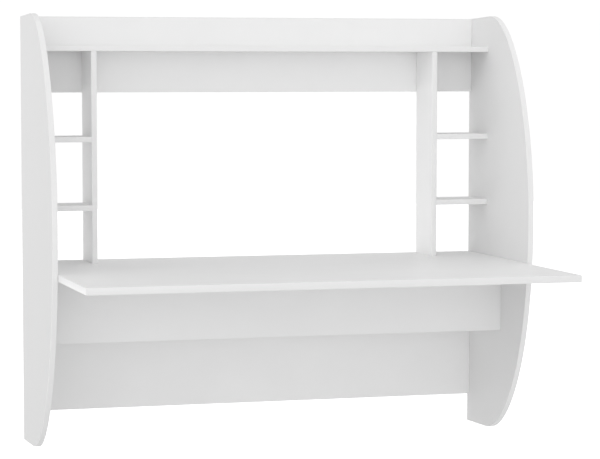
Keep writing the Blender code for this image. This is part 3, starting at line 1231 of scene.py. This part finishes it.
@dataclass
class Dowels:
    """The fluted beech dowels between the dividers and the boards above and below them.

    Attributes:
        scatter: The tree that sets the copies.
        flutes: How many flutes a dowel has.
        flute: How deep a flute is.
        chamfer: The chamfer at each end.
    """

    scatter: Scatter
    flutes: int = 14
    flute: float = 0.00018
    chamfer: float = 0.0008

    def dowel(self, radius: float, length: float) -> bpy.types.Mesh:
        """One dowel, with its foot at the origin."""
        bm = bmesh.new()
        heights = [0.0, self.chamfer, length - self.chamfer, length]
        rings = []
        for height in heights:
            at_end = height in (0.0, length)
            ring = []
            for step in range(self.flutes * 4):
                angle = math.tau * step / (self.flutes * 4)
                cut = self.flute if step % 4 == 0 else 0.0
                reach = radius - cut - (self.chamfer if at_end else 0.0)
                ring.append(bm.verts.new((reach * math.cos(angle), reach * math.sin(angle), height)))
            rings.append(ring)
        for below, above in zip(rings, rings[1:]):
            for i, vert in enumerate(below):
                j = (i + 1) % len(below)
                bm.faces.new((vert, below[j], above[j], above[i]))
        bm.faces.new(rings[0])
        bm.faces.new(rings[-1])
        return mesh_of(bm, "dowel")

    def build(self, palette: Palette) -> None:
        """Puts the dowels into the frame."""
        nodes = [f"dowel_{side}_{where}" for side in SIDES for where in ("top", "foot")]
        spots = [(Extent.of(node).middle_of(Facing.DOWN), Matrix.Identity(3)) for node in nodes]
        size = Extent.of(nodes[0]).size
        mesh = self.dowel(size.x / 2, size.z)
        self.scatter.build("divider_dowels", mesh, spots, palette.beech, Slot.DOWEL, nodes)


@dataclass
class Hangers:
    """The keyhole plates in the upper back panel, with their countersunk screws.

    Attributes:
        scatter: The tree that sets the copies.
        corner: The radius of a plate's corners.
        rim: How far the edge of its outer face is eased.
        entry: The radius of the keyhole's round entry.
        neck: The radius of its neck.
        rise: How far the neck rises above the entry's middle.
        pocket: The width, height and depth of the room behind the plate.
        head: The radius of a screw's head.
        shank: The radius of its shank.
        countersink: The height of its head.
        edge: The chamfer of the head's rim.
        turns: How many turns its thread has.
        pitch: How far apart they are.
        tip: How long its blunt tip is.
        root: The radius between the turns, as a share of the shank's own.
        drive: How far the head's cross reaches from its middle, as a share of the head's radius.
        drive_width: How wide a slot of the cross is.
        drive_depth: How deep the cross is.
    """

    scatter: Scatter
    corner: float = 0.003
    rim: float = 0.0002
    entry: float = 0.0048
    neck: float = 0.0026
    rise: float = 0.010
    pocket: Point = (0.013, 0.026, 0.0085)
    head: float = 0.0034
    shank: float = 0.0016
    countersink: float = 0.0018
    edge: float = 0.0001
    turns: int = 4
    pitch: float = 0.0014
    tip: float = 0.0018
    root: float = 0.75
    drive: float = 0.62
    drive_width: float = 0.001
    drive_depth: float = 0.0013

    def plates(self) -> list[str]:
        """The plates' CAD nodes."""
        return [f"hanger_plate_{side}" for side in SIDES]

    def screws(self, side: str) -> list[str]:
        """The CAD nodes of one plate's screws."""
        return [f"hanger_screw_{side}_{where}" for where in ("inner", "outer")]

    def cutters(self) -> list[Cutter]:
        """What is taken out of the upper back panel for the plates."""
        wide, tall, deep = self.pocket
        shank = self.shank + CLEARANCE
        cutters = []
        for side, plate in zip(SIDES, self.plates()):
            extent = Extent.of(plate)
            recess = extent.grown(CLEARANCE).with_face(Facing.WALL, 2 * PAST_FACE)
            x, z = extent.middle.x, extent.middle.z
            room = Extent.between(
                (x - wide / 2, -deep, z - tall / 2), (x + wide / 2, PAST_FACE, z + tall / 2)
            )
            cutters += [Cutter(recess, corner=self.corner + CLEARANCE), Cutter(room)]
            for screw in self.screws(side):
                body = Extent.of(screw)
                x, z = body.middle.x, body.middle.z
                bore = Extent.between(
                    (x - shank, body.low.y - CLEARANCE, z - shank), (x + shank, PAST_FACE, z + shank)
                )
                cutters.append(Cutter(bore, axis=1, sides=24))
        return cutters

    def plate(self, size: Vector, screw_reach: float) -> bpy.types.Mesh:
        """One plate, lying in the XY plane with its outer face up at z = 0.

        Args:
            size: The plate's width, height and thickness.
            screw_reach: How far each screw is from the plate's middle.

        Returns:
            The plate's mesh.
        """
        bm = block(Extent.between((-size.x / 2, -size.y / 2, -size.z), (size.x / 2, size.y / 2, 0)))
        round_over(bm, self.corner, 6, lambda a, b: max(abs(a.z), abs(b.z)) < ALONG)
        round_over(bm, self.rim, 2, lambda a, b: (a.z > ALONG) != (b.z > ALONG))
        past = size.z * 2
        low, high = -self.rise / 2, self.rise / 2
        wide = self.entry
        entry = Extent.between((-wide, low - wide, -past), (wide, low + wide, past))
        neck = Extent.between((-self.neck, low, -past), (self.neck, high, past))
        # The round end is a hair larger than the neck is, so that their faces don't coincide.
        hair = 0.000003
        wide, past = self.neck + hair, past * 1.1
        end = Extent.between((-wide, high - wide, -past), (wide, high + wide, past))
        cutters: list[Cutter | bpy.types.Mesh] = [Cutter(entry, axis=2, sides=48), Cutter(neck)]
        cutters.append(Cutter(end, axis=2))
        shank, head = self.shank + CLEARANCE, self.head + CLEARANCE / 2
        foot = -size.z * 1.5
        profile = [(0.0, foot), (shank, foot), (shank, -self.countersink), (head, 0.0)]
        profile += [(head, PAST_FACE), (0.0, PAST_FACE)]
        for sign in SIDES.values():
            sink = lathe(profile, 40, "sink")
            sink.transform(Matrix.Translation((sign * screw_reach, 0, 0)))
            cutters.append(sink)
        return carve(mesh_of(bm, "keyhole_plate"), cutters)

    def screw(self, length: float) -> bpy.types.Mesh:
        """One countersunk screw, with its head up at z = 0."""
        start = -length + self.tip
        profile = [(0.0, -length), (self.shank * 0.5, -length + self.tip / 2), (self.shank, start)]
        for turn in range(self.turns):
            below = start + turn * self.pitch
            profile.append((self.shank * self.root, below + self.pitch / 2))
            profile.append((self.shank, below + self.pitch))
        profile += [(self.shank, -self.countersink), (self.head, -self.edge)]
        profile += [(self.head - self.edge, 0.0), (0.0, 0.0)]
        cross = crossed_slots(self.head * self.drive, self.drive_width / 2, self.drive_depth)
        return carve(lathe(profile, 32, "hanger_screw"), cross)

    def build(self, palette: Palette) -> None:
        """Puts the plates and their screws into the frame."""
        face_wall = upright(Vector((0, 1, 0)), Vector((-1, 0, 0)))
        plates = [Extent.of(plate) for plate in self.plates()]
        screws = [screw for side in SIDES for screw in self.screws(side)]
        size = Vector((plates[0].size.x, plates[0].size.z, plates[0].size.y))
        reach = abs(Extent.of(screws[0]).middle.x - plates[0].middle.x)
        spots = [(plate.middle_of(Facing.WALL), face_wall) for plate in plates]
        mesh = self.plate(size, reach)
        self.scatter.build("keyhole_plates", mesh, spots, palette.steel, Slot.HANGER, self.plates())
        spots = [(Extent.of(screw).middle_of(Facing.WALL), face_wall) for screw in screws]
        mesh = self.screw(Extent.of(screws[0]).size.y)
        self.scatter.build("keyhole_plate_screws", mesh, spots, palette.steel, Slot.HANGER, screws)


# Sub-assemblies -----------------------------------------------------------------------------------


@dataclass
class BowedSides:
    """The two side panels, whose front edge bows out between a nearly level foot and top.

    The outline runs on the panel's own plane, as (depth, height) from the foot's back corner.

    Attributes:
        height: The height of the back edge.
        end_run: How deep the nearly level foot and top are.
        end_slope: How much they rise for each metre towards the room.
        bow: The depth and height of the bow's foremost point.
        low_handles: How far the lower curve's handles reach from the foot's end and from the bow.
        high_handles: How far the upper curve's handles reach from the bow and from the top's end.
        steps: How many steps each curve is drawn in.
        corner: The radius of the band's outer corners.
        corner_steps: How many steps each of those corners is drawn in.
        weld: How close two points of the panel lie that become one.
    """

    height: float = 0.944
    end_run: float = 0.123
    end_slope: float = 0.030
    bow: tuple[float, float] = (0.374, 0.491)
    low_handles: tuple[float, float] = (0.099, 0.331)
    high_handles: tuple[float, float] = (0.239, 0.131)
    steps: int = 72
    corner: float = 0.0006
    corner_steps: int = 5
    weld: float = 0.000005

    LOWER = ("Foot end", "Foot handle", "Low handle", "Bow")
    UPPER = ("Bow", "High handle", "Top handle", "Top end")
    OUTLINE = ("Foot", *LOWER, *UPPER[1:], "Top")

    def controls(self) -> dict[str, Point]:
        """The outline's corners and handles, by name."""
        along = Vector((1, self.end_slope, 0))
        up = Vector((0, 1, 0))
        bow = Vector((*self.bow, 0))
        foot_end = along * self.end_run
        top_end = foot_end + up * self.height
        points = (
            Vector((0, 0, 0)),
            foot_end,
            foot_end + along * self.low_handles[0],
            bow - up * self.low_handles[1],
            bow,
            bow + up * self.high_handles[0],
            top_end + along * self.high_handles[1],
            top_end,
            up * self.height,
        )
        return {name: tuple(point) for name, point in zip(self.OUTLINE, points)}

    def outline(self, tree: GeometryTree) -> bpy.types.NodeSocket:
        """Adds the nodes that draw the outline, moved in by the tree's "Inset".

        Two cubic curves share one run of points: the first half of the run takes the lower curve's
        four control points and the second half the upper curve's. Three rounds of blending between
        them give each point's place.

        Args:
            tree: The tree, with an input for each name in OUTLINE, "Steps" and "Inset".

        Returns:
            The outline as an open curve, from the foot's back corner to the top's.
        """
        steps = tree.given("Steps")
        count = tree.math("ADD", tree.math("MULTIPLY", steps, 2.0), 3.0)
        line = tree.add("GeometryNodeCurvePrimitiveLine")
        run = tree.add("GeometryNodeResampleCurve", {"Curve": line.outputs[0], "Count": count})
        index = tree.add("GeometryNodeInputIndex").outputs[0]
        travelled = tree.math("DIVIDE", tree.math("SUBTRACT", index, 1.0), steps)
        upper = tree.math("GREATER_THAN", travelled, 1.0)
        share = tree.math("SUBTRACT", travelled, upper)
        points = []
        for low, high in zip(self.LOWER, self.UPPER):
            inputs = {"Switch": upper, "False": tree.given(low), "True": tree.given(high)}
            points.append(tree.add("GeometryNodeSwitch", inputs, input_type="VECTOR").outputs[0])
        while len(points) > 1:
            points = [tree.mix("VECTOR", share, a, b) for a, b in zip(points, points[1:])]
        drawn = self.moved(tree, run.outputs[0], Position=points[0])
        for name, start, end in (("Foot", 1, 0), ("Top", 0, 1)):
            tip = self.curve_ends(tree, start, end)
            drawn = self.moved(tree, drawn, Selection=tip, Position=tree.given(name))
        tangent = tree.add("GeometryNodeInputTangent").outputs[0]
        inward = tree.vector("CROSS_PRODUCT", (0, 0, 1), tangent)
        inputs = {0: inward, "Scale": tree.given("Inset")}
        offset = tree.add("ShaderNodeVectorMath", inputs, operation="SCALE").outputs[0]
        inset = self.moved(tree, drawn, Offset=offset)
        onto_back = tree.vector("MULTIPLY", tree.add("GeometryNodeInputPosition").outputs[0], (0, 1, 1))
        return self.moved(tree, inset, Selection=self.curve_ends(tree, 1, 1), Position=onto_back)

    def moved(self, tree: GeometryTree, geometry: Any, **inputs: Any) -> bpy.types.NodeSocket:
        """Adds the node that sets or offsets points of a geometry."""
        return tree.add("GeometryNodeSetPosition", {"Geometry": geometry, **inputs}).outputs[0]

    def curve_ends(self, tree: GeometryTree, start: int, end: int) -> bpy.types.NodeSocket:
        """Adds the node that picks so many points at a curve's start and end."""
        inputs = {"Start Size": start, "End Size": end}
        return tree.add("GeometryNodeCurveEndpointSelection", inputs).outputs[0]

    def inputs(self, **more: str) -> dict[str, str]:
        """The kinds of the inputs that both trees have, and more."""
        outline = dict.fromkeys(self.OUTLINE, "point")
        return {**outline, "Steps": "count", "Inset": "number", **more, "Finish": "finish"}

    def board_tree(self) -> GeometryTree:
        """The tree that fills the outline and gives it the board's thickness."""
        tree = GeometryTree("bowed_board", self.inputs(Thickness="number"))
        inputs = {"Geometry": self.outline(tree), "Cyclic": True}
        closed = tree.add("GeometryNodeSetSplineCyclic", inputs)
        flat = tree.add("GeometryNodeFillCurve", {"Curve": closed.outputs[0]})
        flat.mode = "NGONS"
        inputs = {"Mesh": flat.outputs[0], "Offset": (0, 0, 1), "Offset Scale": tree.given("Thickness")}
        raised = tree.add("GeometryNodeExtrudeMesh", {**inputs, "Individual": False})
        under = tree.add("GeometryNodeFlipFaces", {"Mesh": flat.outputs[0]})
        joined = tree.add("GeometryNodeJoinGeometry", {"Geometry": raised.outputs["Mesh"]})
        tree.tree.links.new(under.outputs[0], joined.inputs[0])
        inputs = {"Geometry": joined.outputs[0], "Distance": self.weld}
        whole = tree.add("GeometryNodeMergeByDistance", inputs)
        tree.end(whole.outputs[0])
        return tree

    def band_tree(self) -> GeometryTree:
        """The tree that sweeps the band's profile along the outline."""
        tree = GeometryTree("bowed_band", self.inputs(Profile="object"))
        profile = tree.add("GeometryNodeObjectInfo", {"Object": tree.given("Profile")})
        section = tree.add("GeometryNodeMeshToCurve", {"Mesh": profile.outputs["Geometry"]})
        swept = tree.add(
            "GeometryNodeCurveToMesh",
            {"Curve": self.outline(tree), "Profile Curve": section.outputs[0], "Fill Caps": True},
        )
        tree.end(swept.outputs[0])
        return tree

    def profile(self, thickness: float, depth: float) -> bpy.types.Object:
        """The band's cross-section, with its outer face on the Y axis and its outer corners rounded.

        Args:
            thickness: The board's thickness.
            depth: The band's own thickness.

        Returns:
            An object that holds the section's closed line.
        """
        half, radius = thickness / 2, self.corner
        points = [(-depth, -half, 0.0)]
        for sign in (-1, 1):
            arc = []
            for step in range(self.corner_steps + 1):
                angle = math.pi / 2 * step / self.corner_steps
                x = -radius + radius * math.sin(angle)
                arc.append((x, sign * (half - radius) + sign * radius * math.cos(angle), 0.0))
            points += arc if sign < 0 else arc[::-1]
        points.append((-depth, half, 0.0))
        mesh = bpy.data.meshes.new("band_section")
        count = len(points)
        mesh.from_pydata(points, [(i, (i + 1) % count) for i in range(count)], [])
        return linked("band_section", mesh)

    def build(self, palette: Palette) -> None:
        """Puts both panels and their bands into the frame."""
        board_tree, band_tree = self.board_tree(), self.band_tree()
        shared = {**self.controls(), "Steps": self.steps}
        foot = Extent.of("side_panel_left_band").low.z
        for side in SIDES:
            node = f"side_panel_{side}"
            panel, band = Extent.of(node), Extent.of(node + "_band")
            inset = panel.low.z - foot
            # The outline's depth runs towards the room, its height up and its thickness to the left.
            stand = Matrix(((0, 0, -1, panel.high.x), (-1, 0, 0, 0), (0, 1, 0, foot), (0, 0, 0, 1)))
            values = {**shared, "Inset": inset, "Thickness": panel.size.x, "Finish": palette.board}
            mesh = board_tree.make(node + "_board", values)
            mesh.transform(stand)
            mesh.materials.append(palette.core)
            for face in mesh.polygons:
                face.material_index = int(face.normal.y > ALONG)
            mesh = carve(mesh, [joint.bolt_bore(side) for joint in CAM_JOINTS])
            mark_through(mesh, 0)
            place(node + "_board", mesh, Slot.BOARD, [node])
            section = self.profile(band.size.x, inset - GLUE_LINE)
            values = {**shared, "Inset": 0.0, "Profile": section, "Finish": palette.band}
            mesh = band_tree.make(node + "_strip", values)
            mesh.transform(Matrix.Translation((-band.size.x / 2, 0, 0)) @ stand)
            bpy.data.objects.remove(section)
            place(node + "_strip", smooth(mesh), Slot.BAND, [node + "_band"])


@dataclass
class WritingDesktop:
    """The deep writing board, with a band on its front and on both ends."""

    def build(self, palette: Palette) -> None:
        """Puts the desktop and its bands into the frame."""
        ends = (Facing.LEFT, Facing.RIGHT)
        cutters = cam_cutters("desktop") + dowel_cutters(SIDES, ["foot"])
        banded = (*ends, Facing.ROOM)
        board = Board("desktop", 2, (Facing.WALL,), banded, (), Slot.DESKTOP, cutters=cutters)
        board.build(palette)
        StraightBand("desktop_front_band", "desktop", Facing.ROOM, 2, free_ends=True).build(palette)
        joint = next(joint for joint in CAM_JOINTS if joint.board == "desktop")
        for facing, side in zip(ends, SIDES):
            bores = [joint.bolt_bore(side)]
            StraightBand(f"desktop_{side}_band", "desktop", facing, 2, cutters=bores).build(palette)


@dataclass
class ShelfUnit:
    """The top shelf, the two dividers under it and the four small shelves beside them."""

    levels: tuple[str, ...] = ("upper", "lower")

    def build(self, palette: Palette) -> None:
        """Puts the shelves and the dividers into the frame."""
        ends = (Facing.LEFT, Facing.RIGHT, Facing.WALL)
        front = (Facing.ROOM,)
        cutters = cam_cutters("top_shelf") + dowel_cutters(SIDES, ["top"])
        top = Board("top_shelf", 2, ends, front, cutters=cutters)
        banded_board(top, {"top_shelf_band": Facing.ROOM}, palette)
        for side in SIDES:
            node = f"divider_{side}"
            raw = (Facing.UP, Facing.DOWN, Facing.WALL)
            bores = dowel_cutters([side], ["top", "foot"])
            divider = Board(node, 0, raw, front, (Facing.UP, Facing.DOWN), cutters=bores)
            banded_board(divider, {node + "_band": Facing.ROOM}, palette)
            for level in self.levels:
                node = f"small_shelf_{side}_{level}"
                banded_board(Board(node, 2, ends, front), {node + "_band": Facing.ROOM}, palette)


@dataclass
class CrossPanels:
    """The upright boards across the back: two on the wall, and the modesty panel under the desktop.

    Attributes:
        hangers: The keyhole plates that are let into the upper one.
    """

    hangers: Hangers

    def build(self, palette: Palette) -> None:
        """Puts the three panels into the frame."""
        ends = (Facing.LEFT, Facing.RIGHT)
        node = "upper_back_panel"
        cutters = cam_cutters(node) + self.hangers.cutters()
        upper = Board(node, 1, ends, (Facing.UP, Facing.DOWN), cutters=cutters)
        bands = {node + "_lower_band": Facing.DOWN, node + "_upper_band": Facing.UP}
        banded_board(upper, bands, palette)
        for node in ("lower_back_panel", "modesty_panel"):
            board = Board(node, 1, (*ends, Facing.UP), (Facing.DOWN,), cutters=cam_cutters(node))
            banded_board(board, {node + "_band": Facing.DOWN}, palette)


# Studio -------------------------------------------------------------------------------------------


@dataclass(frozen=True)
class Viewpoint:
    """The camera: where it stands and where it looks.

    Attributes:
        stand: Where it stands.
        yaw: How far it looks to the right of the wall's own direction, in radians.
        pitch: How far it looks up, in radians.
        lens: The focal length, in millimetres.
        shift: The lens shift, right and up.
        sensor: The sensor's width, in millimetres.
        clip: The nearest and the farthest that it sees.
    """

    stand: Point = (-1.38809, -5.07022, -0.03187)
    yaw: float = 0.27430
    pitch: float = -0.08500
    lens: float = 138.04
    shift: tuple[float, float] = (0.05, 0.05917)
    sensor: float = 36.0
    clip: tuple[float, float] = (0.1, 100.0)

    def build(self) -> bpy.types.Object:
        """Makes the scene's camera."""
        data = bpy.data.cameras.new("studio_camera")
        data.sensor_width = self.sensor
        data.lens = self.lens
        data.shift_x, data.shift_y = self.shift
        data.clip_start, data.clip_end = self.clip
        camera = linked("studio_camera", data)
        level = math.cos(self.pitch)
        ahead = Vector((math.sin(self.yaw) * level, math.cos(self.yaw) * level, math.sin(self.pitch)))
        turn = ahead.to_track_quat("-Z", "Y").to_matrix().to_4x4()
        camera.matrix_world = Matrix.Translation(self.stand) @ turn
        bpy.context.scene.camera = camera
        return camera


@dataclass(frozen=True)
class SoftLight:
    """A wide soft light, far off in one direction.

    Attributes:
        way: The direction that it stands in.
        strength: How bright its middle is.
        focus: How fast it fades away from its middle.
    """

    way: Point
    strength: float
    focus: float

    def seen_along(self, graph: Graph, ray: bpy.types.NodeSocket) -> bpy.types.NodeSocket:
        """Adds the nodes that give its brightness along a ray."""
        way = tuple(Vector(self.way).normalized())
        dot = graph.add("ShaderNodeVectorMath", {0: ray, 1: way}, operation="DOT_PRODUCT")
        facing = graph.math("MAXIMUM", dot.outputs["Value"], 0.0)
        lobe = graph.math("POWER", facing, self.focus)
        return graph.math("MULTIPLY", lobe, self.strength)


@dataclass(frozen=True)
class Studio:
    """A white studio: even light from all round, a few wide soft lights, and a pale floor.

    Attributes:
        even: The strength of the light from all round.
        backdrop: The strength of the backdrop that the camera sees.
        desk_height: How high above the floor the desktop's top hangs.
        floor: The floor's finish.
        floor_reach: Half the floor's width.
        lights: The soft lights: overhead, left, right, front left, in front, and beside the camera.
    """

    even: float = 0.29
    backdrop: float = 1.02
    desk_height: float = 0.750
    floor: StudioFloor = StudioFloor("studio_floor", (0.62, 0.62, 0.62), (0.19, 0.85), (0.9, 1.6))
    floor_reach: float = 14.0
    lights: tuple[SoftLight, ...] = (
        SoftLight((0.0, 0.0, 1.0), 0.43, 1.0),
        SoftLight((-1.0, 0.0, 0.0), 0.58, 1.0),
        SoftLight((1.0, 0.0, 0.0), 0.62, 1.0),
        SoftLight((-1.0, -1.0, 0.0), 0.62, 4.0),
        SoftLight((0.0, -1.0, 0.0), 2.10, 40.0),
        SoftLight((-0.265, -0.96, 0.08), 0.80, 30.0),
    )

    def light_the_room(self) -> None:
        """Makes the world: the even light, the soft lights, and the backdrop."""
        world = bpy.data.worlds.new("studio_light")
        bpy.context.scene.world = world
        world.use_nodes = True
        world.node_tree.nodes.clear()
        graph = Graph(world.node_tree)
        ray = graph.add("ShaderNodeTexCoord").outputs["Generated"]
        strength: Any = self.even
        for light in self.lights:
            strength = graph.math("ADD", strength, light.seen_along(graph, ray))
        room = graph.add("ShaderNodeBackground", {"Color": (1, 1, 1, 1), "Strength": strength})
        plain = graph.add("ShaderNodeBackground", {"Color": (1, 1, 1, 1), "Strength": self.backdrop})
        seen = graph.add("ShaderNodeLightPath").outputs["Is Camera Ray"]
        either = graph.add("ShaderNodeMixShader", {0: seen, 1: room.outputs[0], 2: plain.outputs[0]})
        graph.add("ShaderNodeOutputWorld", {"Surface": either.outputs[0]})

    def build(self) -> None:
        """Makes the light and the floor, and sets the view transform."""
        self.light_the_room()
        height = Extent.of("desktop").high.z - self.desk_height
        reach = self.floor_reach
        mesh = bpy.data.meshes.new("studio_floor")
        corners = ((-reach, -reach), (reach, -reach), (reach, reach), (-reach, reach))
        mesh.from_pydata([(x, y, height) for x, y in corners], [], [(0, 1, 2, 3)])
        mesh.materials.append(self.floor.material())
        floor = linked("studio_floor", mesh)
        bpy.context.scene.view_settings.view_transform = "Standard"


def main() -> None:
    """Builds the studio and the desk, one sub-assembly after another."""
    logging.basicConfig(level=logging.INFO, format="%(message)s")
    Viewpoint().build()
    Studio().build()
    palette = Palette()
    scatter = Scatter()
    hangers = Hangers(scatter)
    for assembly in (
        BowedSides(),
        WritingDesktop(),
        ShelfUnit(),
        CrossPanels(hangers),
        CamFittings(scatter),
        Dowels(scatter),
        hangers,
    ):
        LOG.info("building %s", type(assembly).__name__)
        assembly.build(palette)


if __name__ == "__main__":
    main()
